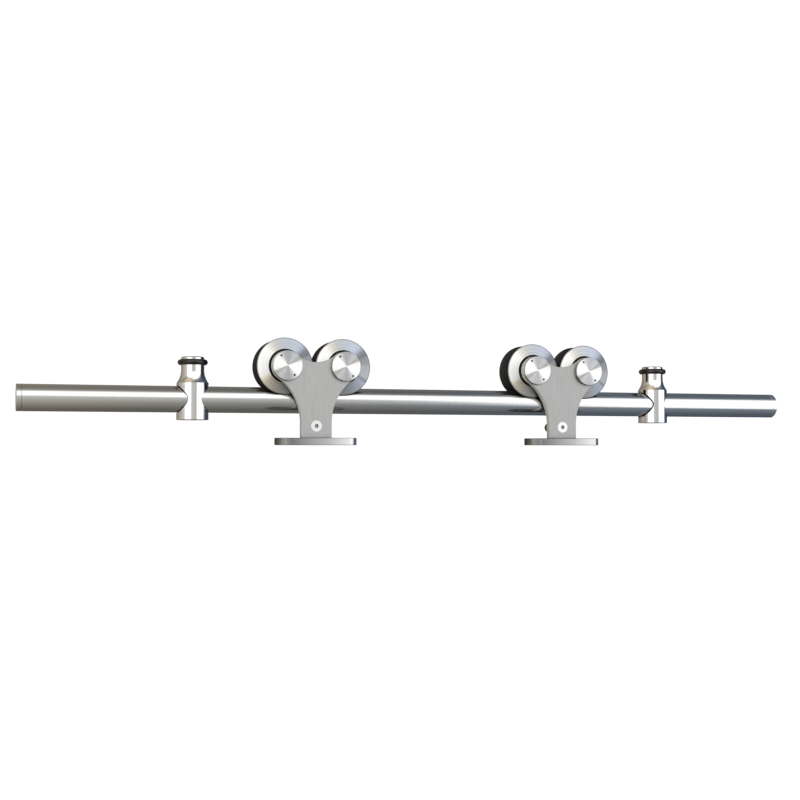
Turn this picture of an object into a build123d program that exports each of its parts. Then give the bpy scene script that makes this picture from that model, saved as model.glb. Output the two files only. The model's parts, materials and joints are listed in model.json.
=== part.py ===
from build123d import *
import math
import os

# Sliding barn door hardware: a round stainless rail on two wall standoffs, two rubber-ringed end
# stops, and two Y-shaped door hangers that each roll on a pair of grooved wheels.
# Everything is drawn about the rail's axis, x along the rail, y towards the wall, z up, and moved
# at the end so that the origin is the middle of the wall fixings, on the wall's face. Millimetres.

# ---------------------------------------------------------------- driving dimensions
RAIL_D = 25.0                # round rail, outside
RAIL_WALL = 2.0
RAIL_LENGTH = 792.0          # over both end plugs
RAIL_TO_WALL = 34.0          # rail axis to wall face

PLUG_FLANGE = 5.0            # part of an end plug that shows beyond the tube
PLUG_SPIGOT = 15.0
JOINT_GROOVE = 0.5           # chamfer on the flange where it meets the tube

FIXING_SPACING = 660.0       # between the two wall standoffs
STANDOFF_D = 20.0
WALL_THREAD_R = 4.0          # M8
WALL_THREAD_DEPTH = 10.0
STUD_R = 3.0                 # M6
STUD_INTO_STANDOFF = 8.0
STUD_INTO_INSERT = 9.0
INSERT_LENGTH = 30.0

GROUP_CENTRE = 6.7           # middle of the stops and hangers, from the rail's middle
STOP_HALF_SPACING = 243.5
STOP_R = 15.0
STOP_BOTTOM = -19.4
STOP_SHOULDER = 15.3         # where the cylinder ends and the flare begins
STOP_NECK_R = 10.8
STOP_NECK_FROM = 27.6
STOP_TOP = 40.0
RING_R = 2.7                 # rubber ring's section
RING_OUTER_R = 14.15
RING_HEIGHT = 34.9
STOP_BORE_GAP = 1.2          # the stop slides freely until its screw is tightened
STOP_SCREW_R = 3.0

HANGER_HALF_SPACING = 128.7
WHEEL_HALF_SPACING = 28.7    # two wheels of one hanger, from the hanger's middle
WHEEL_HEIGHT = 32.5          # axle above the rail's axis
WHEEL_R = 27.2
WHEEL_HALF_WIDTH = 12.4
REAR_FLANGE_R = 26.8
FRONT_FLANGE_R = 26.2
FACE_T = 0.8                 # stainless face disc on each wheel's front
FACE_INNER_R = 16.2
FACE_RISE = 1.5              # the face is a shallow cone, its inner edge forward of its rim
GROOVE_GAP = 0.3             # groove wall to rail

BEARING_R = 13.0             # ball bearing 10 x 26 x 8
BEARING_BORE_R = 5.0
BEARING_W = 8.0
BEARING_OFFSET = 7.0         # bearing's middle from the wheel's middle
BALL_R = 2.4
BALL_PITCH_R = 9.0
BALLS_PER_BEARING = 8
INNER_RACE_R = 7.3
OUTER_RACE_R = 10.7
SEAL_T = 0.6
SEAL_INNER_GAP = 0.3
SEAL_OUTER_GAP = 0.1
TRACK_GAP = 0.05             # ball to race
HUB_CHAMFER = 1.0
HUB_SHOULDER = 1.5           # height of the shoulder between the two bearings

STRAP_FRONT = -21.3          # front face of the hanger strap
STRAP_T = 6.0
LOBE_R = 14.3
SADDLE_HEIGHT = 36.2         # lowest point of the strap's top edge
STEM_WIDTH = 30.0
SHOULDER_R = 52.0            # long hollow curve from lobe to stem
STEM_FOOT = -36.0

CAP_R = 14.3
CAP_T = 3.5
CAP_SHADOW_GAP = 0.6         # undercut behind the cap's rim
CAP_STEP = 1.0
SPANNER_HOLE_R = 1.05
SPANNER_HOLE_PITCH_R = 11.2
SPANNER_ANGLE = 125.0
AXLE_HEAD_R = 8.0
AXLE_HEAD_T = 3.6
AXLE_HEX_R = 3.4

SCREW_HEIGHT = -24.7
SCREW_R = 3.0                # M6 countersunk
SCREW_HEAD_R = 5.6
SCREW_HEAD_T = 3.0
SCREW_END = 12.0
HEX_R = 2.2
HEX_DEPTH = 2.4
LUG_WIDTH = 24.0
LUG_T = 6.0
LUG_TOP = -16.5
LUG_CORNER_R = 2.0
LUG_ROOT_HEIGHT = 3.0
GUARD_R = 4.6
GUARD_END = 13.6

PLATE_WIDTH = 80.0
PLATE_DEPTH = 24.0
PLATE_T = 7.0
PLATE_CORNER_R = 11.9
DOOR_HOLE_SPACING = 56.0
DOOR_HOLE_R = 2.75
DOOR_HOLE_HEAD_R = 5.5

EASE = 0.4                   # small edge breaks
FIT = 0.02                   # clearance of pieces assembled on one body
OVER = 1.0                   # how far a cutting solid runs past the face it cuts

# ---------------------------------------------------------------- derived sizes
RAIL_R = RAIL_D / 2
TUBE_BORE_R = RAIL_R - RAIL_WALL
HALF_RAIL = RAIL_LENGTH / 2
STRAP_BACK = STRAP_FRONT + STRAP_T
STRAP_MID = STRAP_FRONT + STRAP_T / 2
STANDOFF_X = FIXING_SPACING / 2
SIDES = {"left": -1, "right": 1}


# ---------------------------------------------------------------- helpers
def save(node, solids):
    """Write one sub-part, moved from the rail's axis to the wall frame."""
    moved = [Pos(0, -RAIL_TO_WALL, 0) * solid for solid in solids]
    shape = moved[0] if len(moved) == 1 else Compound(children=moved)
    export_step(shape, f"parts/{node}.step")


def turned(points):
    """Solid of revolution about z from (radius, height) points joined by straight lines."""
    face = make_face(Polyline(*[(r, 0, h) for r, h in points], close=True))
    return revolve(face, Axis.Z).solid()


def along_y(solid, x=0.0, z=0.0):
    """Lay a turned piece down: its height becomes y."""
    return Pos(x, 0, z) * (Rot(-90, 0, 0) * solid)


def bar_y(radius, y_from, y_to, x=0.0, z=0.0):
    """Round bar along y between two y values."""
    return along_y(turned([(0, y_from), (radius, y_from), (radius, y_to), (0, y_to)]), x, z)


def ring_y(inner, outer, y_from, y_to, x=0.0, z=0.0):
    """Round ring along y between two y values."""
    points = [(inner, y_from), (outer, y_from), (outer, y_to), (inner, y_to)]
    return along_y(turned(points), x, z)


def bar_x(radius, x_from, x_to):
    """Round bar on the rail's axis between two x values."""
    bar = turned([(0, x_from), (radius, x_from), (radius, x_to), (0, x_to)])
    return Rot(0, 90, 0) * bar


def bar_z(radius, z_from, z_to, x=0.0, y=0.0):
    """Upright round bar between two heights."""
    return Pos(x, y, 0) * turned([(0, z_from), (radius, z_from), (radius, z_to), (0, z_to)])


def between(centre, radius, start, end):
    """Arc about a centre from one point to another, the short way round."""
    middle = Vector(*start) + Vector(*end) - Vector(*centre) * 2
    top = Vector(*centre) + middle.normalized() * radius
    return ThreePointArc(start, (top.X, top.Y), end)


# ---------------------------------------------------------------- rail
def rail_tube():
    """Plain round tube with a clearance hole for each stud in its back."""
    end = HALF_RAIL - PLUG_FLANGE
    tube = bar_x(RAIL_R, -end, end) - bar_x(TUBE_BORE_R, -end - OVER, end + OVER)
    for side in SIDES.values():
        tube -= bar_y(STUD_R + EASE, 0, RAIL_R + OVER, x=side * STANDOFF_X)
    return tube.solid()


def end_plug(side):
    """Flanged plug: the flange carries on the tube's outside, the spigot fits its bore."""
    end = HALF_RAIL
    flange = end - PLUG_FLANGE + FIT
    spigot_end = end - PLUG_FLANGE - PLUG_SPIGOT
    spigot_r = TUBE_BORE_R - FIT
    points = [(0, spigot_end), (spigot_r - EASE, spigot_end), (spigot_r, spigot_end + EASE),
              (spigot_r, flange), (RAIL_R - JOINT_GROOVE, flange), (RAIL_R, flange + JOINT_GROOVE),
              (RAIL_R, end - EASE), (RAIL_R - EASE, end), (0, end)]
    return (Rot(0, 90 * side, 0) * turned(points)).solid()


def rail_insert(side):
    """Solid bar inside the tube, tapped to take the stud."""
    x = side * STANDOFF_X
    half = INSERT_LENGTH / 2
    insert = bar_x(TUBE_BORE_R - FIT, x - half, x + half)
    return (insert - bar_y(STUD_R + FIT, 0, TUBE_BORE_R + OVER, x=x)).solid()


def standoff(side):
    """Turned barrel: saddle end on the rail, tapped at both ends."""
    x = side * STANDOFF_X
    radius = STANDOFF_D / 2
    body = along_y(turned([(0, 0), (radius, 0), (radius, RAIL_TO_WALL - EASE),
                           (radius - EASE, RAIL_TO_WALL), (0, RAIL_TO_WALL)]), x)
    body -= bar_x(RAIL_R + FIT, x - STANDOFF_D, x + STANDOFF_D)
    body -= bar_y(STUD_R + FIT, 0, RAIL_R + STUD_INTO_STANDOFF + EASE, x=x)
    body -= bar_y(WALL_THREAD_R, RAIL_TO_WALL - WALL_THREAD_DEPTH, RAIL_TO_WALL + OVER, x=x)
    return max(body.solids(), key=lambda solid: solid.volume)


def standoff_stud(side):
    """Headless M6 stud that joins a standoff to its insert."""
    y_end = RAIL_R + STUD_INTO_STANDOFF
    y_start = TUBE_BORE_R - STUD_INTO_INSERT
    points = [(0, y_start), (STUD_R - EASE, y_start), (STUD_R, y_start + EASE),
              (STUD_R, y_end - EASE), (STUD_R - EASE, y_end), (0, y_end)]
    return along_y(turned(points), side * STANDOFF_X)


# ---------------------------------------------------------------- stops
def stop_body(x):
    """Upright turned post: cylinder, hollow flare, neck and ring groove, cross-bored for the rail."""
    ring_centre_r = RING_OUTER_R - RING_R
    groove_r = RING_R + FIT
    groove_dz = math.sqrt(groove_r**2 - (ring_centre_r - STOP_NECK_R) ** 2)
    step = STOP_R - STOP_NECK_R
    rise = STOP_NECK_FROM - STOP_SHOULDER
    flare_r = (step**2 + rise**2) / (2 * step)
    half_angle = math.asin(rise / flare_r) / 2
    flare_mid = (STOP_NECK_R + flare_r * (1 - math.cos(half_angle)), 0,
                 STOP_NECK_FROM - flare_r * math.sin(half_angle))
    low = RING_HEIGHT - groove_dz
    high = RING_HEIGHT + groove_dz
    outline = [
        Polyline((STOP_NECK_R, 0, high), (STOP_NECK_R, 0, STOP_TOP - 2 * EASE),
                 (STOP_NECK_R - 2 * EASE, 0, STOP_TOP), (0, 0, STOP_TOP), (0, 0, STOP_BOTTOM),
                 (STOP_R - EASE, 0, STOP_BOTTOM), (STOP_R, 0, STOP_BOTTOM + EASE),
                 (STOP_R, 0, STOP_SHOULDER)),
        ThreePointArc((STOP_R, 0, STOP_SHOULDER), flare_mid, (STOP_NECK_R, 0, STOP_NECK_FROM)),
        Line((STOP_NECK_R, 0, STOP_NECK_FROM), (STOP_NECK_R, 0, low)),
        ThreePointArc((STOP_NECK_R, 0, low), (ring_centre_r - groove_r, 0, RING_HEIGHT),
                      (STOP_NECK_R, 0, high)),
    ]
    edges = [edge for piece in outline for edge in piece.edges()]
    body = Pos(x, 0, 0) * revolve(make_face(edges), Axis.Z).solid()
    body -= bar_x(RAIL_R + STOP_BORE_GAP, x - 2 * STOP_R, x + 2 * STOP_R)
    body -= bar_z(STOP_SCREW_R + FIT, STOP_BOTTOM - OVER, 0, x)
    return body.solid()


def stop_ring(x):
    """Rubber ring in the stop's groove."""
    return Pos(x, 0, RING_HEIGHT) * Solid.make_torus(RING_OUTER_R - RING_R, RING_R)


def stop_screw(x):
    """Grub screw from below that clamps the stop on the rail, with a hexagon socket."""
    top = -RAIL_R - FIT
    bottom = STOP_BOTTOM + EASE
    screw = bar_z(STOP_SCREW_R, bottom, top, x)
    socket = extrude(RegularPolygon(STOP_SCREW_R / 2, 6), HEX_DEPTH)
    return (screw - Pos(x, 0, bottom) * socket).solid()


# ---------------------------------------------------------------- hangers
def strap(x):
    """Y-shaped plate: two round lobes, a hollow saddle, hollow shoulders and a straight stem."""
    lobe = Vector(WHEEL_HALF_SPACING, WHEEL_HEIGHT)
    dz = WHEEL_HEIGHT - SADDLE_HEIGHT
    saddle_r = (lobe.X**2 + dz**2 - LOBE_R**2) / (2 * (LOBE_R + dz))
    saddle = Vector(0, SADDLE_HEIGHT + saddle_r)
    half_stem = STEM_WIDTH / 2
    across = half_stem + SHOULDER_R - lobe.X
    drop = math.sqrt((SHOULDER_R + LOBE_R) ** 2 - across**2)
    shoulder = Vector(half_stem + SHOULDER_R, WHEEL_HEIGHT - drop)
    high = lobe + (saddle - lobe).normalized() * LOBE_R
    low = lobe + (shoulder - lobe).normalized() * LOBE_R
    far = lobe - ((high + low) * 0.5 - lobe).normalized() * LOBE_R
    curves = []
    for side in (1, -1):
        hip = (side * half_stem, shoulder.Y)
        lobe_end = (side * low.X, low.Y)
        curves.append(ThreePointArc((side * high.X, high.Y), (side * far.X, far.Y), lobe_end))
        curves.append(between((side * shoulder.X, shoulder.Y), SHOULDER_R, lobe_end, hip))
        curves.append(Line(hip, (side * half_stem, STEM_FOOT + FIT)))
    curves.append(ThreePointArc((-high.X, high.Y), (0, SADDLE_HEIGHT), (high.X, high.Y)))
    curves.append(Line((-half_stem, STEM_FOOT + FIT), (half_stem, STEM_FOOT + FIT)))
    face = make_face([edge for curve in curves for edge in curve.edges()])
    plate = extrude(face, STRAP_T / 2, both=True)
    plate = chamfer(plate.faces().filter_by(Axis.Z).edges(), EASE / 2)
    plate = Pos(x, STRAP_MID, 0) * (Rot(90, 0, 0) * plate)
    for side in (1, -1):
        plate -= bar_y(BEARING_BORE_R + FIT, STRAP_FRONT - OVER, STRAP_BACK + OVER,
                       x + side * WHEEL_HALF_SPACING, WHEEL_HEIGHT)
    countersink = [(0, STRAP_FRONT - OVER), (SCREW_HEAD_R + FIT, STRAP_FRONT - OVER),
                   (SCREW_HEAD_R + FIT, STRAP_FRONT + EASE),
                   (SCREW_R + FIT, STRAP_FRONT + SCREW_HEAD_T),
                   (SCREW_R + FIT, STRAP_BACK + OVER), (0, STRAP_BACK + OVER)]
    plate -= along_y(turned(countersink), x, SCREW_HEIGHT)
    return plate.solid()


def door_plate(x):
    """Round-ended plate for the door's top edge, with an upright lug behind the strap."""
    plate_top = STEM_FOOT
    plate_foot = STEM_FOOT - PLATE_T
    slab = extrude(RectangleRounded(PLATE_WIDTH, PLATE_DEPTH, PLATE_CORNER_R), PLATE_T)
    slab = chamfer(slab.faces().filter_by(Axis.Z).edges(), EASE)
    lug_y = STRAP_BACK + FIT + LUG_T / 2
    lug_height = LUG_TOP - plate_top + OVER
    outline = Pos(0, LUG_TOP - lug_height / 2) * RectangleRounded(LUG_WIDTH, lug_height, LUG_CORNER_R)
    lug = Pos(x, lug_y, 0) * (Rot(90, 0, 0) * extrude(outline, LUG_T / 2, both=True))
    root = Pos(x, lug_y, plate_top) * Box(LUG_WIDTH, LUG_T, 2 * LUG_ROOT_HEIGHT)
    plate = Pos(x, STRAP_MID, plate_foot) * slab + lug + root
    plate -= bar_y(SCREW_R + FIT, STRAP_BACK - OVER, STRAP_BACK + LUG_T + OVER, x, SCREW_HEIGHT)
    sink_foot = plate_top - DOOR_HOLE_HEAD_R + DOOR_HOLE_R
    hole = turned([(0, plate_foot - OVER), (DOOR_HOLE_R, plate_foot - OVER),
                   (DOOR_HOLE_R, sink_foot), (DOOR_HOLE_HEAD_R, plate_top),
                   (DOOR_HOLE_HEAD_R, plate_top + OVER), (0, plate_top + OVER)])
    for side in (1, -1):
        plate -= Pos(x + side * DOOR_HOLE_SPACING / 2, STRAP_MID, 0) * hole
    return plate.solid()


def strap_screw(x):
    """Long countersunk M6 screw: clamps strap to lug and carries the guard sleeve under the rail."""
    points = [(0, STRAP_FRONT), (SCREW_HEAD_R, STRAP_FRONT), (SCREW_HEAD_R, STRAP_FRONT + EASE),
              (SCREW_R, STRAP_FRONT + SCREW_HEAD_T), (SCREW_R, SCREW_END - EASE),
              (SCREW_R - EASE, SCREW_END), (0, SCREW_END)]
    screw = along_y(turned(points), x, SCREW_HEIGHT)
    socket = Rot(-90, 0, 0) * extrude(RegularPolygon(HEX_R, 6), HEX_DEPTH)
    return (screw - Pos(x, STRAP_FRONT, SCREW_HEIGHT) * socket).solid()


def guard_sleeve(x):
    """Closed nylon sleeve under the rail that keeps the wheels from lifting off."""
    front = STRAP_BACK + LUG_T + 2 * FIT
    bore = SCREW_R + FIT
    points = [(bore, front), (GUARD_R, front), (GUARD_R, GUARD_END - 2 * EASE),
              (GUARD_R - 2 * EASE, GUARD_END), (0, GUARD_END), (0, SCREW_END + FIT),
              (bore, SCREW_END + FIT)]
    return along_y(turned(points), x, SCREW_HEIGHT)


# ---------------------------------------------------------------- wheels and axles
def tyre(x):
    """Black nylon wheel: hollow groove that matches the rail, two flanges and a stepped hub."""
    groove_r = RAIL_R + GROOVE_GAP
    rim = -WHEEL_HALF_WIDTH + FACE_T
    rear = WHEEL_HALF_WIDTH
    rim_lip = -math.sqrt(groove_r**2 - (WHEEL_HEIGHT - FRONT_FLANGE_R) ** 2)
    rear_lip = math.sqrt(groove_r**2 - (WHEEL_HEIGHT - REAR_FLANGE_R) ** 2)
    seat = BEARING_R + FIT
    shoulder = BEARING_R - HUB_SHOULDER
    inner = BEARING_OFFSET - BEARING_W / 2 - FIT
    slope = FACE_RISE / (WHEEL_R - FACE_INNER_R)
    outline = [
        ThreePointArc((FRONT_FLANGE_R, 0, rim_lip), (WHEEL_HEIGHT - groove_r, 0, 0),
                      (REAR_FLANGE_R, 0, rear_lip)),
        Polyline((REAR_FLANGE_R, 0, rear_lip), (REAR_FLANGE_R, 0, rear - EASE),
                 (REAR_FLANGE_R - EASE, 0, rear), (seat + HUB_CHAMFER, 0, rear),
                 (seat, 0, rear - HUB_CHAMFER), (seat, 0, inner), (shoulder, 0, inner),
                 (shoulder, 0, -inner), (seat, 0, -inner), (seat, 0, rim + HUB_CHAMFER),
                 (seat + HUB_CHAMFER, 0, rim), (FACE_INNER_R + EASE, 0, rim),
                 (FACE_INNER_R + EASE, 0, rim - FACE_RISE + slope * EASE),
                 (FRONT_FLANGE_R, 0, rim - slope * (WHEEL_R - FRONT_FLANGE_R)),
                 (FRONT_FLANGE_R, 0, rim_lip)),
    ]
    edges = [edge for piece in outline for edge in piece.edges()]
    return along_y(revolve(make_face(edges), Axis.Z).solid(), x, WHEEL_HEIGHT)


def wheel_face(x):
    """Turned stainless ring that covers the wheel's front, a shallow cone."""
    rim = -WHEEL_HALF_WIDTH
    back = FACE_T - FIT / 2
    crown = rim - FACE_RISE
    points = [(FACE_INNER_R, crown + back), (FACE_INNER_R, crown + EASE / 2),
              (FACE_INNER_R + EASE / 2, crown), (WHEEL_R - EASE / 2, rim),
              (WHEEL_R, rim + EASE / 2), (WHEEL_R, rim + back)]
    return along_y(turned(points), x, WHEEL_HEIGHT)


def bearing_races(x, inner_r, outer_r):
    """The same race in both bearings of a wheel, with its ball track."""
    races = []
    track = Solid.make_torus(BALL_PITCH_R, BALL_R + TRACK_GAP)
    for end in (-1, 1):
        middle = end * BEARING_OFFSET
        half = BEARING_W / 2
        race = turned([(inner_r, middle - half), (outer_r, middle - half),
                       (outer_r, middle + half), (inner_r, middle + half)])
        race = (race - Pos(0, 0, middle) * track).solid()
        races.append(along_y(race, x, WHEEL_HEIGHT))
    return races


def bearing_balls(x):
    """Both rows of balls."""
    balls = []
    for end in (-1, 1):
        for index in range(BALLS_PER_BEARING):
            angle = 2 * math.pi * index / BALLS_PER_BEARING
            place = Pos(x + BALL_PITCH_R * math.cos(angle), end * BEARING_OFFSET,
                        WHEEL_HEIGHT + BALL_PITCH_R * math.sin(angle))
            balls.append(place * Solid.make_sphere(BALL_R))
    return balls


def bearing_seals(x):
    """Thin black seal on the open side of each bearing."""
    seals = []
    for end in (-1, 1):
        outer = end * (BEARING_OFFSET + BEARING_W / 2)
        near, far = sorted((outer + end * FIT, outer + end * (FIT + SEAL_T)))
        seals.append(ring_y(INNER_RACE_R + SEAL_INNER_GAP, BEARING_R - SEAL_OUTER_GAP, near, far,
                            x, WHEEL_HEIGHT))
    return seals


def axle(x):
    """Shouldered pin: rear head with a hexagon socket, shank through both bearings and the strap."""
    head = BEARING_OFFSET + BEARING_W / 2 + SEAL_T + 4 * FIT
    collar = BEARING_OFFSET + BEARING_W / 2 + FIT
    end = STRAP_FRONT - CAP_T / 2
    shank = BEARING_BORE_R
    points = [(0, end), (shank - EASE, end), (shank, end + EASE), (shank, collar),
              (INNER_RACE_R - EASE, collar), (INNER_RACE_R - EASE, head),
              (AXLE_HEAD_R, head), (AXLE_HEAD_R, head + AXLE_HEAD_T - EASE),
              (AXLE_HEAD_R - EASE, head + AXLE_HEAD_T), (0, head + AXLE_HEAD_T)]
    pin = along_y(turned(points), x, WHEEL_HEIGHT)
    socket = Rot(90, 0, 0) * extrude(RegularPolygon(AXLE_HEX_R, 6), HEX_DEPTH)
    return (pin - Pos(x, head + AXLE_HEAD_T, WHEEL_HEIGHT) * socket).solid()


def axle_spacers(x):
    """Spacer between strap and front bearing, and the one between the bearings."""
    bore = BEARING_BORE_R + FIT
    face = BEARING_OFFSET + BEARING_W / 2 + FIT
    gap = BEARING_OFFSET - BEARING_W / 2 - FIT
    return [ring_y(bore, INNER_RACE_R - EASE, STRAP_BACK + FIT, -face, x, WHEEL_HEIGHT),
            ring_y(bore, INNER_RACE_R - EASE, -gap, gap, x, WHEEL_HEIGHT)]


def axle_cap(x):
    """Turned round cap nut on the axle's front end, with two spanner holes in its face."""
    front = STRAP_FRONT - CAP_T
    foot = STRAP_FRONT - FIT
    hole = BEARING_BORE_R + FIT
    depth = STRAP_FRONT - CAP_T / 2 - FIT
    points = [(0, front), (CAP_R - EASE, front), (CAP_R, front + EASE),
              (CAP_R, foot - CAP_SHADOW_GAP), (CAP_R - CAP_STEP, foot - CAP_SHADOW_GAP),
              (CAP_R - CAP_STEP, foot), (hole, foot), (hole, depth), (0, depth)]
    cap = along_y(turned(points), x, WHEEL_HEIGHT)
    angle = math.radians(SPANNER_ANGLE)
    for sign in (1, -1):
        cap -= bar_y(SPANNER_HOLE_R, front - OVER, front + CAP_T / 3,
                     x + sign * SPANNER_HOLE_PITCH_R * math.cos(angle),
                     WHEEL_HEIGHT + sign * SPANNER_HOLE_PITCH_R * math.sin(angle))
    return cap.solid()


# ---------------------------------------------------------------- assembly
def build_rail():
    save("rail_tube", [rail_tube()])
    save("rail_inserts", [rail_insert(side) for side in SIDES.values()])
    save("standoff_studs", [standoff_stud(side) for side in SIDES.values()])
    for name, side in SIDES.items():
        stop_x = GROUP_CENTRE + side * STOP_HALF_SPACING
        save(f"{name}_end_plug", [end_plug(side)])
        save(f"{name}_standoff", [standoff(side)])
        save(f"{name}_stop_post", [stop_body(stop_x)])
        save(f"{name}_stop_ring", [stop_ring(stop_x)])
        save(f"{name}_stop_screw", [stop_screw(stop_x)])


def build_hanger(name, side):
    x = GROUP_CENTRE + side * HANGER_HALF_SPACING
    save(f"{name}_strap", [strap(x)])
    save(f"{name}_door_plate", [door_plate(x)])
    save(f"{name}_strap_screw", [strap_screw(x)])
    save(f"{name}_guard_sleeve", [guard_sleeve(x)])
    for end, end_side in (("outer", side), ("inner", -side)):
        wheel_x = x + end_side * WHEEL_HALF_SPACING
        label = f"{name}_{end}"
        save(f"{label}_tyre", [tyre(wheel_x)])
        save(f"{label}_wheel_face", [wheel_face(wheel_x)])
        save(f"{label}_outer_races", bearing_races(wheel_x, OUTER_RACE_R, BEARING_R))
        save(f"{label}_bearing_balls", bearing_balls(wheel_x))
        save(f"{label}_bearing_seals", bearing_seals(wheel_x))
        save(f"{label}_inner_races", bearing_races(wheel_x, BEARING_BORE_R + FIT, INNER_RACE_R))
        save(f"{label}_axle", [axle(wheel_x)])
        save(f"{label}_axle_spacers", axle_spacers(wheel_x))
        save(f"{label}_axle_cap", [axle_cap(wheel_x)])


os.makedirs("parts", exist_ok=True)
build_rail()
for side_name, side_sign in SIDES.items():
    build_hanger(side_name, side_sign)
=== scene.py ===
import bpy
import json
import math
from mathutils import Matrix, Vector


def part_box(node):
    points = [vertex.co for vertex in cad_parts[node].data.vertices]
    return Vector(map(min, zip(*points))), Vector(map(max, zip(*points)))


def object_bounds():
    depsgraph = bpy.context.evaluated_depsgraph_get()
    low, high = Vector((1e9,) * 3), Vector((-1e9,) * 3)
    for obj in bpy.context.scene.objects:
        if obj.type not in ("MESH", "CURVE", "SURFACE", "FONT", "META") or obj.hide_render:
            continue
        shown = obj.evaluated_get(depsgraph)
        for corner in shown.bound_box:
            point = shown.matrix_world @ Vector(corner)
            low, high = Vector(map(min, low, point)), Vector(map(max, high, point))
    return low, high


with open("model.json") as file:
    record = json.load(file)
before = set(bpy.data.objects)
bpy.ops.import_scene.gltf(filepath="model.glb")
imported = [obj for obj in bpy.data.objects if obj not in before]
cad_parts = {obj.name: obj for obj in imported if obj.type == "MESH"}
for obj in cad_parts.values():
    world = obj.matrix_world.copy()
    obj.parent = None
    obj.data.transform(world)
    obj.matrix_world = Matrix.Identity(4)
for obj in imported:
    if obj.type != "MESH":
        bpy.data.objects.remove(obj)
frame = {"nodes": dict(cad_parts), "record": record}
cad_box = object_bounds()

# ---------------------------------------------------------------- named values
RAIL_LOW, RAIL_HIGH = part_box("rail_tube")
RAIL_CENTRE = [(low + high) / 2 for low, high in zip(RAIL_LOW, RAIL_HIGH)]

CAMERA_FROM_RAIL = (-0.4256, -1.1994, -0.0449)   # metres from the rail's middle
CAMERA_TURN = 18.195                             # degrees to the right of straight at the wall
CAMERA_TILT = 2.119                              # degrees upwards
SENSOR = 36.0
FOCAL_LENGTH = 57.38

FLOOR_DROP = 0.45                                # below the object, so that it never shows
FLOOR_SIZE = 12.0

BRUSH_DEPTH = 0.00002                            # metres that brush and turning lines stand proud
GRAIN_DEPTH = 0.00005                            # the same for moulded nylon and rubber
EVEN = (900, 900, 900)                           # noise scales per metre along x, y and z
ALONG_RAIL = (2600, 60, 60)
AROUND_STOP = (60, 60, 2600)
AROUND_WHEEL = (60, 1500, 60)
UP_STRAP = (1300, 1300, 35)
ALONG_PLATE = (60, 900, 60)
FINE_GRAIN = (1500, 1500, 1500)
PATCHES = (90, 90, 90)
HAND_MARKS = (35, 35, 35)

CAP_LOW, CAP_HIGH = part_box("left_outer_axle_cap")
CAP_WIDTH = CAP_HIGH[0] - CAP_LOW[0]
SPANNER_PITCH_R = 0.0112
SPANNER_R = 0.00105
SPANNER_ANGLE = math.radians(125)
SPANNER_X = SPANNER_PITCH_R / CAP_WIDTH * math.cos(SPANNER_ANGLE)
SPANNER_Z = SPANNER_PITCH_R / CAP_WIDTH * math.sin(SPANNER_ANGLE)
SPANNER_REACH = SPANNER_R / CAP_WIDTH

# Painted light levels for each side: the photographed hangers are lit alike at two different angles,
# so each side's copy of a material is painted lighter or darker.
SIDE_PAINTED_LIGHT = {
    "left": {"strap": 0.468, "turned": 1.0, "screw": 0.93,
             "plate_top": 0.19, "edge_from": 0.24, "edge_to": 0.98},
    "right": {"strap": 0.412, "turned": 0.92, "screw": 0.80,
              "plate_top": 0.10, "edge_from": 0.165, "edge_to": 0.66},
}


# ---------------------------------------------------------------- node helpers
class Graph:
    """A short way to build a node tree: each call adds one node and returns its output."""

    def __init__(self, tree):
        self.tree = tree
        self.nodes = tree.nodes
        self.nodes.clear()

    def add(self, kind, inputs=None, output=0, **settings):
        node = self.nodes.new(kind)
        for key, value in settings.items():
            setattr(node, key, value)
        for key, value in (inputs or {}).items():
            self.put(node.inputs[key], value)
        return node.outputs[output] if node.outputs else node

    def put(self, socket, value):
        if isinstance(value, bpy.types.NodeSocket):
            self.tree.links.new(value, socket)
        else:
            socket.default_value = value

    def math(self, operation, a, b=0.0):
        return self.add("ShaderNodeMath", {0: a, 1: b}, operation=operation)

    def both(self, a, b):
        """Product of two values, such as two windows that must both be open."""
        return self.math("MULTIPLY", a, b)

    def distance(self, a, b):
        """Length of a plane vector."""
        return self.math("SQRT", self.math("ADD", self.both(a, a), self.both(b, b)))

    def split(self, vector):
        node = self.nodes.new("ShaderNodeSeparateXYZ")
        self.put(node.inputs[0], vector)
        return node.outputs

    def remap(self, value, low, high, to_low=0.0, to_high=1.0, kind="SMOOTHSTEP"):
        inputs = {0: value, 1: low, 2: high, 3: to_low, 4: to_high}
        return self.add("ShaderNodeMapRange", inputs, interpolation_type=kind)

    def window(self, value, low, high, soft):
        """1 between low and high, falling to 0 over soft on each side."""
        rise = self.remap(value, low - soft, low + soft)
        fall = self.remap(value, high - soft, high + soft, 1.0, 0.0)
        return self.both(rise, fall)

    def mix(self, factor, a, b):
        node = self.nodes.new("ShaderNodeMix")
        node.data_type = "RGBA"
        self.put(node.inputs["Factor"], factor)
        self.put(node.inputs["A"], a)
        self.put(node.inputs["B"], b)
        return node.outputs["Result"]

    def ramp(self, value, stops):
        node = self.nodes.new("ShaderNodeValToRGB")
        self.put(node.inputs[0], value)
        elements = node.color_ramp.elements
        elements[0].position, elements[0].color = stops[0]
        elements[1].position, elements[1].color = stops[-1]
        for position, colour in stops[1:-1]:
            elements.new(position).color = colour
        return node.outputs[0]


def rgb(red, green, blue):
    return (red, green, blue, 1.0)


# ---------------------------------------------------------------- studio
NEUTRAL = (1.0, 1.0, 0.98)
COOL = (0.84, 1.0, 1.22)
WINDOW_LIGHT = (0.06, 0.08, 0.12)
SOFTBOX = 1.6
BACKDROP = 1.05
# Turn is degrees to the right of the front. Lift is degrees about the rail, up from the front.
BOX_LEFT, GAP_LEFT, GAP_RIGHT, BOX_RIGHT = -64, -18, 19, 76
BOX_EDGE = 3                                     # degrees of fade at each upright edge
TOP_FADE = (49, 64)


def room_colour(level, warmth):
    return rgb(level * (1 + 0.10 * warmth), level, level * (1 - 0.16 * warmth))


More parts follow.
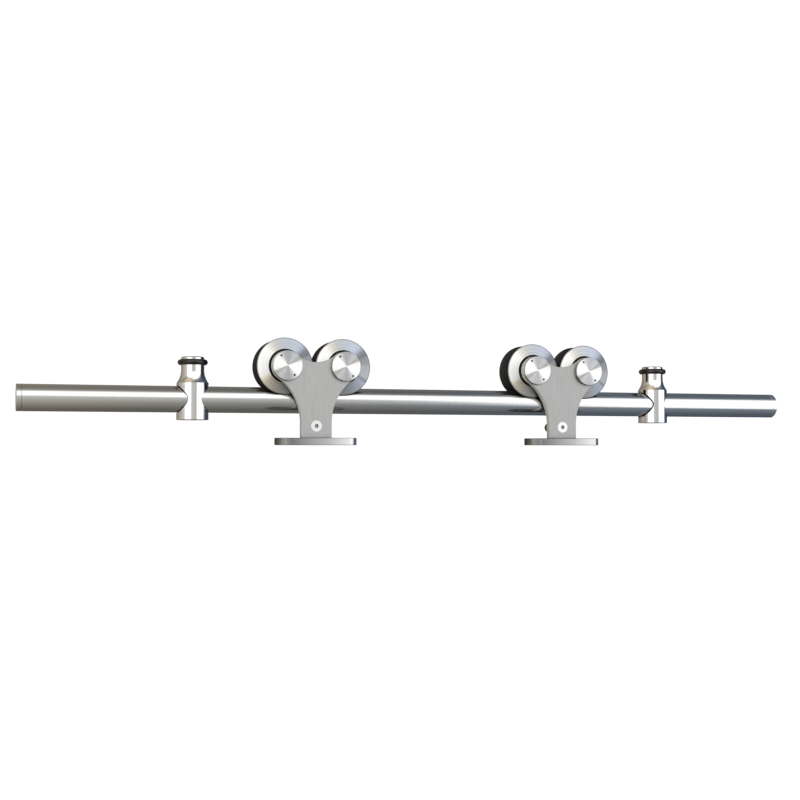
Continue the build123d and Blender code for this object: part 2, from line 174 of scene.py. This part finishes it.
def room_ramp(g, value, stops):
    """Light levels, each with its warmth, against an angle in degrees from -180 to 180."""
    return g.ramp(g.remap(value, -180, 180, kind="LINEAR"),
                  [((angle + 180) / 360, room_colour(level, warmth))
                   for angle, level, warmth in stops])


def build_world():
    """Soft studio: a box each side of a gap, one over the gap, and a room that is cool at right."""
    world = bpy.data.worlds.new("studio")
    bpy.context.scene.world = world
    world.use_nodes = True
    g = Graph(world.node_tree)
    across, depth, height = g.split(g.add("ShaderNodeTexCoord"))
    to_degrees = 180 / math.pi
    toward = g.math("MULTIPLY", depth, -1.0)
    turn = g.math("MULTIPLY", g.math("ARCTAN2", across, toward), to_degrees)
    lift = g.math("MULTIPLY", g.math("ARCTAN2", height, toward), to_degrees)

    left_room = room_ramp(g, lift, [
        (-180, 0.16, 1), (-136, 0.14, 1), (-100, 0.19, 1), (-74, 0.28, 1), (-51, 0.38, 1),
        (-31, 0.48, 0.7), (-12, 0.57, 0.2), (8, 0.71, 0.1), (60, 0.60, 0.4), (72, 0.34, 0.8),
        (95, 0.25, 1), (132, 0.28, 1), (180, 0.30, 1)])
    right_room = room_ramp(g, lift, [
        (-180, 0.13, 0), (-136, 0.14, 0), (-100, 0.13, 0), (-74, 0.185, 0), (-51, 0.24, 0),
        (-31, 0.31, 0), (-12, 0.48, 0), (8, 0.60, 0), (60, 0.40, 0), (72, 0.20, 0),
        (95, 0.145, 0), (132, 0.20, 0), (180, 0.15, 0)])
    room = g.mix(g.remap(across, -0.05, 0.28), left_room, right_room)
    tint = g.mix(g.remap(across, 0.25, 0.50), rgb(*NEUTRAL), rgb(*COOL))
    room = g.add("ShaderNodeVectorMath", {0: room, 1: tint}, operation="MULTIPLY")
    level_band = g.remap(g.math("ABSOLUTE", height), 0.5, 0.75, 1.0, 0.0)
    far_left = g.both(g.remap(turn, -58, -66), level_band)
    left_wall = room_ramp(g, turn, [(-155, 0.245, 1.5), (-125, 0.40, 1.3), (-99, 0.54, 0.6),
                                    (-66, 0.78, 0.12)])
    room = g.mix(far_left, room, left_wall)
    far_right = g.both(g.window(turn, 82, 150, 8), level_band)
    room = g.mix(far_right, room, rgb(*WINDOW_LIGHT))

    below_top = g.remap(lift, *TOP_FADE, 1.0, 0.0)
    above_gap = g.both(g.remap(lift, 10, 20), below_top)
    upper = g.both(g.window(turn, BOX_LEFT, BOX_RIGHT, BOX_EDGE), above_gap)
    right_foot = g.math("ADD", g.remap(turn, 19, 27, 12, -25, "LINEAR"),
                        g.remap(turn, 27, 36, 0, -7, "LINEAR"))
    above_foot = g.remap(g.math("SUBTRACT", lift, right_foot), -5, 5)
    right_box = g.both(g.window(turn, GAP_RIGHT, BOX_RIGHT, BOX_EDGE),
                       g.both(above_foot, below_top))
    left_box = g.both(g.window(turn, BOX_LEFT, GAP_LEFT, BOX_EDGE), g.window(lift, -28, 57, 6))
    boxes = g.math("MAXIMUM", g.math("MAXIMUM", right_box, left_box), upper)
    lit = g.mix(boxes, room, rgb(SOFTBOX, SOFTBOX, SOFTBOX))
    upper_left = g.both(g.remap(across, 0.03, -0.20), g.remap(height, 0.69, 0.79))
    warm_corner = room_ramp(g, turn, [(-120, 0.36, 2), (-65, 0.73, 2.2), (-30, 0.66, 1.3),
                                      (0, 0.52, 1.1)])
    lit = g.mix(upper_left, lit, warm_corner)

    studio = g.add("ShaderNodeBackground", {"Color": lit, "Strength": 1.0})
    backdrop = g.add("ShaderNodeBackground", {"Color": rgb(1, 1, 1), "Strength": BACKDROP})
    seen = g.nodes.new("ShaderNodeLightPath").outputs["Is Camera Ray"]
    surface = g.add("ShaderNodeMixShader", {0: seen, 1: studio, 2: backdrop})
    g.put(g.nodes.new("ShaderNodeOutputWorld").inputs[0], surface)


def build_floor():
    half = FLOOR_SIZE / 2
    height = cad_box[0][2] - FLOOR_DROP
    mesh = bpy.data.meshes.new("floor")
    corners = [(-half, -half, height), (half, -half, height), (half, half, height),
               (-half, half, height)]
    mesh.from_pydata(corners, [], [(0, 1, 2, 3)])
    floor = bpy.data.objects.new("floor", mesh)
    bpy.context.collection.objects.link(floor)
    material = bpy.data.materials.new("pale_floor")
    material.use_nodes = True
    g = Graph(material.node_tree)
    shader = g.add("ShaderNodeBsdfPrincipled", {
        "Base Color": rgb(0.9, 0.9, 0.9), "Roughness": 0.9,
        "Emission Color": rgb(1, 1, 1), "Emission Strength": 0.75})
    g.put(g.nodes.new("ShaderNodeOutputMaterial").inputs[0], shader)
    mesh.materials.append(material)
    floor.visible_glossy = False
    floor.visible_diffuse = False


def build_camera():
    camera = bpy.data.cameras.new("camera")
    camera.sensor_width = SENSOR
    camera.lens = FOCAL_LENGTH
    camera.clip_start = 0.01
    camera.clip_end = 50.0
    viewer = bpy.data.objects.new("camera", camera)
    viewer.location = [centre + offset for centre, offset in zip(RAIL_CENTRE, CAMERA_FROM_RAIL)]
    viewer.rotation_euler = (math.radians(90 + CAMERA_TILT), 0, math.radians(-CAMERA_TURN))
    bpy.context.collection.objects.link(viewer)
    bpy.context.scene.camera = viewer


# ---------------------------------------------------------------- materials
def new_material(name):
    material = bpy.data.materials.new(name)
    material.use_nodes = True
    return material, Graph(material.node_tree)


def finish_material(g, colour, roughness, bump_height, bump_strength, bump_distance, **fixed):
    normal = g.add("ShaderNodeBump", {"Strength": bump_strength, "Distance": bump_distance,
                                      "Height": bump_height})
    inputs = {"Base Color": colour, "Roughness": roughness, "Normal": normal}
    inputs.update({key.replace("_", " "): value for key, value in fixed.items()})
    shader = g.add("ShaderNodeBsdfPrincipled", inputs)
    g.put(g.nodes.new("ShaderNodeOutputMaterial").inputs[0], shader)


def stretched_noise(g, scale, detail=3.0):
    """Noise drawn out along the axes with the small scales. Object coordinates, in metres."""
    place = g.add("ShaderNodeTexCoord", output="Object")
    mapped = g.add("ShaderNodeMapping", {"Vector": place, "Scale": scale})
    return g.add("ShaderNodeTexNoise", {"Vector": mapped, "Scale": 1.0, "Detail": detail,
                                        "Roughness": 0.6})


def scaled(colour, factor):
    return rgb(*[min(1.0, part * factor) for part in colour])


def brushed(g, colour, streak_scale, streak):
    """Streaked colour and the streaks themselves."""
    lines = stretched_noise(g, streak_scale)
    tint = g.mix(g.remap(lines, 0.3, 0.7, kind="LINEAR"), scaled(colour, 1 - streak),
                 scaled(colour, 1 + streak))
    return tint, lines


def handled(g, roughness, smudge):
    """Roughness with faint handling marks."""
    marks = stretched_noise(g, HAND_MARKS, detail=4.0)
    return g.remap(marks, 0.3, 0.75, roughness - smudge, roughness + smudge, "LINEAR")


def steel(name, colour, roughness, streak_scale, streak, smudge, bump):
    """Drawn, ground or polished stainless: streaks along one direction, faint handling marks."""
    material, g = new_material(name)
    tint, lines = brushed(g, colour, streak_scale, streak)
    rough = g.math("ADD", handled(g, roughness, smudge),
                   g.remap(lines, 0.3, 0.7, -smudge, smudge, "LINEAR"))
    finish_material(g, tint, rough, lines, bump, BRUSH_DEPTH, Metallic=1.0)
    return material


def strap_plate(name, gain):
    """Flat stainless plate, brushed upright, with duller blasted edges."""
    material, g = new_material(name)
    # the plate's colour level is its side's painted light level
    tint, lines = brushed(g, (gain, gain, gain * 0.99), UP_STRAP, 0.08)
    facing = g.split(g.nodes.new("ShaderNodeNewGeometry").outputs["Normal"])
    edge = g.remap(g.math("ABSOLUTE", facing[1]), 0.75, 0.5)
    tint = g.mix(edge, tint, rgb(0.62, 0.62, 0.61))
    metal = g.remap(edge, 0, 1, 1.0, 0.25, "LINEAR")
    rough = g.math("MAXIMUM", handled(g, 0.46, 0.03), g.remap(edge, 0, 1, 0.0, 0.6, "LINEAR"))
    finish_material(g, tint, rough, lines, 0.18, BRUSH_DEPTH, Metallic=metal)
    return material


def door_plate_steel(name, top, edge_from, edge_to):
    """Polished door plate with painted reflection: dark flats, a dull dark round end, and an edge
    painted from dull to bright.
    """
    material, g = new_material(name)
    # the flats' colour is a painted reflection level, set for each side
    tint, lines = brushed(g, (top,) * 3, ALONG_PLATE, 0.05)
    facing = g.split(g.nodes.new("ShaderNodeNewGeometry").outputs["Normal"])
    upright = g.remap(g.math("ABSOLUTE", facing[2]), 0.8, 0.5)
    along = g.split(g.add("ShaderNodeTexCoord", output="Generated"))[0]
    middle = (edge_from + edge_to) / 2
    # painted reflection along the edge: a dark round end, then dull to bright, a darker band and a
    # bright bluish tip
    painted_edge_run = g.ramp(along, [
        (0.0, rgb(0.12, 0.11, 0.088)), (0.02, rgb(0.19, 0.18, 0.16)),
        (0.045, rgb(0.19, 0.19, 0.18)), (0.085, rgb(0.17, 0.17, 0.17)),
        (0.115, rgb(0.31, 0.31, 0.31)), (0.145, rgb(0.34, 0.34, 0.34)),
        (0.160, scaled((1, 1, 1.01), edge_from)), (0.60, scaled((1, 1, 1.03), middle)),
        (0.845, scaled((1, 1, 1), edge_to)), (0.87, rgb(0.53, 0.54, 0.54)),
        (1.0, rgb(0.9, 0.94, 1.0))])
    tint = g.mix(upright, tint, painted_edge_run)
    rough = g.math("MAXIMUM", handled(g, 0.28, 0.02), g.remap(upright, 0, 1, 0.5, 0.0, "LINEAR"))
    finish_material(g, tint, rough, lines, 0.06, BRUSH_DEPTH, Metallic=1.0)
    return material


def face_coordinates(g):
    """Turn in whole turns from +X, radius, depth and both offsets on a round piece along y."""
    x, depth, z = g.split(g.add("ShaderNodeTexCoord", output="Generated"))
    across = g.math("SUBTRACT", x, 0.5)
    up = g.math("SUBTRACT", z, 0.5)
    turn = g.math("FRACT", g.math("DIVIDE", g.math("ARCTAN2", up, across), 2 * math.pi))
    return turn, g.distance(across, up), depth, across, up


def turned_steel(g, sheen, radius, ring_count, shade, gain, roughness, rim_from, rim_painted_shade):
    """Lathe-turned face: fine rings about the middle, and the fans of light that they throw, partly
    real anisotropic reflection and partly painted reflection in the colour, with a painted dark rim
    line.
    """
    rings = g.add("ShaderNodeTexNoise", {"W": g.math("MULTIPLY", radius, 2.0 * ring_count),
                                         "Scale": 1.0, "Detail": 3.0}, noise_dimensions="1D")
    ringed = g.remap(rings, 0.3, 0.7, 0.82, 1.18, "LINEAR")
    # painted shade: a dark rim line at the outer edge
    edge = g.remap(radius, rim_from, 0.497, 1.0, rim_painted_shade)
    level = g.both(g.both(g.both(ringed, edge), gain), shade)
    tint = g.add("ShaderNodeVectorMath", {0: sheen, "Scale": level}, operation="SCALE")
    tangent = g.add("ShaderNodeTangent", direction_type="RADIAL", axis="Y")
    finish_material(g, tint, handled(g, roughness, 0.03), rings, 0.10, BRUSH_DEPTH, Metallic=1.0,
                    Anisotropic=0.8, Anisotropic_Rotation=0.25, Tangent=tangent)


def turned_cap(name, gain):
    """Axle cap: painted reflection of two bright fans and two grey ones, and painted shade for the
    dark insides of two spanner holes.
    """
    material, g = new_material(name)
    turn, radius, depth, across, up = face_coordinates(g)
    half_turn = g.math("FRACT", g.both(turn, 2.0))
    # painted reflection: bright and grey fans by angle about the middle
    sheen = g.ramp(half_turn, [(angle / 180, rgb(red, green, blue)) for angle, red, green, blue in (
        (0, 1.0, 1.0, 1.0), (17, 1.0, 1.0, 0.98), (25, 0.55, 0.54, 0.50), (33, 0.46, 0.46, 0.44),
        (48, 0.66, 0.66, 0.67), (60, 0.64, 0.65, 0.68), (75, 0.55, 0.56, 0.58),
        (92, 0.50, 0.505, 0.515), (106, 0.53, 0.53, 0.54), (118, 0.68, 0.68, 0.68),
        (130, 0.82, 0.82, 0.82), (142, 1.0, 1.0, 1.0), (180, 1.0, 1.0, 1.0))])
    shade = 1.0
    # painted shade: the spanner holes are dark on the front face
    for sign in (1, -1):
        from_x = g.math("SUBTRACT", across, sign * SPANNER_X)
        from_z = g.math("SUBTRACT", up, sign * SPANNER_Z)
        outside = g.remap(g.distance(from_x, from_z), SPANNER_REACH * 0.97, SPANNER_REACH * 1.03)
        surface = g.remap(depth, 0.02, 0.04, 1.0, 0.0)
        bright = g.math("MAXIMUM", outside, surface)
        shade = g.both(shade, g.remap(bright, 0, 1, 0.04, 1.0, "LINEAR"))
    turned_steel(g, sheen, radius, 20, shade, gain, 0.40, 0.480, 0.50)
    return material


def turned_ring(name, gain):
    """Wheel face: a shallow turned cone with painted reflection, bright on one side and cooler
    opposite, and painted shade at the foot.
    """
    material, g = new_material(name)
    turn, radius, _, _, _ = face_coordinates(g)
    # painted reflection and painted shade by angle about the middle
    sheen = g.ramp(turn, [(angle / 360, rgb(red, green, blue)) for angle, red, green, blue in (
        (0, 0.39, 0.40, 0.42), (10, 0.30, 0.31, 0.34), (22, 0.29, 0.31, 0.345),
        (28, 0.20, 0.21, 0.22), (38, 0.25, 0.27, 0.31), (50, 0.49, 0.54, 0.63),
        (62, 0.57, 0.62, 0.71), (90, 0.54, 0.58, 0.64), (108, 0.56, 0.57, 0.57),
        (120, 0.65, 0.64, 0.61), (130, 0.80, 0.78, 0.72), (138, 0.96, 0.96, 0.94),
        (170, 1.0, 1.0, 0.99), (204, 1.0, 1.0, 0.98), (210, 0.88, 0.80, 0.66),
        (220, 0.66, 0.61, 0.51), (240, 0.47, 0.455, 0.42), (262, 0.33, 0.325, 0.30),
        (290, 0.32, 0.345, 0.39), (312, 0.34, 0.37, 0.42), (323, 0.37, 0.40, 0.46),
        (329, 0.24, 0.255, 0.28), (337, 0.42, 0.44, 0.45), (360, 0.39, 0.40, 0.42))])
    turned_steel(g, sheen, radius, 33, 1.0, gain, 0.42, 0.480, 0.36)
    return material


def socket_screw(name, colour):
    """Bright screw, with painted shade inside the hexagon socket and a painted dark rim line."""
    material, g = new_material(name)
    tint, lines = brushed(g, colour, EVEN, 0.02)
    _, radius, depth, _, _ = face_coordinates(g)
    # painted shade inside the hexagon socket
    socket_shade = g.both(g.remap(radius, 0.207, 0.215, 1.0, 0.0), g.window(depth, 0.006, 0.08, 0.002))
    tint = g.mix(socket_shade, tint, rgb(0.34, 0.34, 0.36))
    # painted shade: a dark rim line round the head
    tint = g.mix(g.remap(radius, 0.46, 0.495), tint, rgb(0.40, 0.40, 0.41))
    finish_material(g, tint, handled(g, 0.34, 0.03), lines, 0.05, BRUSH_DEPTH, Metallic=1.0)
    return material


def moulded(name, colour, roughness, grain_scale, bump, specular):
    """Nylon or rubber: a fine grain with slightly uneven colour and gloss."""
    material, g = new_material(name)
    grain = stretched_noise(g, grain_scale, detail=5.0)
    patches = stretched_noise(g, PATCHES, detail=2.0)
    tint = g.mix(g.remap(patches, 0.35, 0.7, kind="LINEAR"), rgb(*colour), scaled(colour, 1.4))
    rough = g.remap(patches, 0.3, 0.7, roughness - 0.06, roughness + 0.06, "LINEAR")
    finish_material(g, tint, rough, grain, bump, GRAIN_DEPTH, **{"Specular IOR Level": specular})
    return material


def build_materials():
    """One material for each slot, and where the two hangers differ one for each side: copies painted
    lighter or darker for each side's light.
    """
    materials = {
        "satin_rail": steel(
            "satin_rail", (0.68, 0.68, 0.675), 0.16, ALONG_RAIL, streak=0.03, smudge=0.02, bump=0.10),
        "polished_stop": steel(
            "polished_stop", (0.74, 0.74, 0.735), 0.10, AROUND_STOP, streak=0.02, smudge=0.015,
            bump=0.05),
        "screw_steel": steel(
            "screw_steel", (0.80, 0.80, 0.81), 0.28, EVEN, streak=0.02, smudge=0.03, bump=0.05),
        "bearing_steel": steel(
            "bearing_steel", (0.62, 0.62, 0.64), 0.16, EVEN, streak=0.02, smudge=0.02, bump=0.03),
        "black_nylon": moulded(
            "black_nylon", (0.010, 0.0095, 0.0095), 0.50, AROUND_WHEEL, bump=0.45, specular=0.24),
        "black_rubber": moulded(
            "black_rubber", (0.003, 0.003, 0.003), 0.16, FINE_GRAIN, bump=0.06, specular=0.55),
        "green_nylon": moulded(
            "green_nylon", (0.058, 0.18, 0.005), 0.50, EVEN, bump=0.05, specular=0.05),
    }
    # each side gets its own copies, painted lighter or darker for the light on that side
    for side, side_light in SIDE_PAINTED_LIGHT.items():
        materials[f"{side}_strap"] = strap_plate(f"{side}_strap", side_light["strap"])
        materials[f"{side}_door_plate"] = door_plate_steel(
            f"{side}_door_plate", side_light["plate_top"], side_light["edge_from"], side_light["edge_to"])
        materials[f"{side}_axle_cap"] = turned_cap(f"{side}_cap", side_light["turned"])
        materials[f"{side}_wheel_face"] = turned_ring(f"{side}_wheel_face", side_light["turned"])
        materials[f"{side}_strap_screw"] = socket_screw(f"{side}_strap_screw",
                                                        (side_light["screw"],) * 3)
    return materials


def dress_nodes(materials):
    """Give each CAD node its side's own copy, painted lighter or darker for that side's light, or the
    one that its material slot names.
    """
    slots = {entry["node"]: entry["material_slot"] for entry in frame["record"]["subparts"]}
    for name, node in frame["nodes"].items():
        own = name.replace("_outer", "").replace("_inner", "")
        node.data.materials.clear()
        node.data.materials.append(materials.get(own) or materials[slots[name]])


build_world()
build_floor()
build_camera()
dress_nodes(build_materials())
bpy.context.scene.view_settings.view_transform = "Standard"
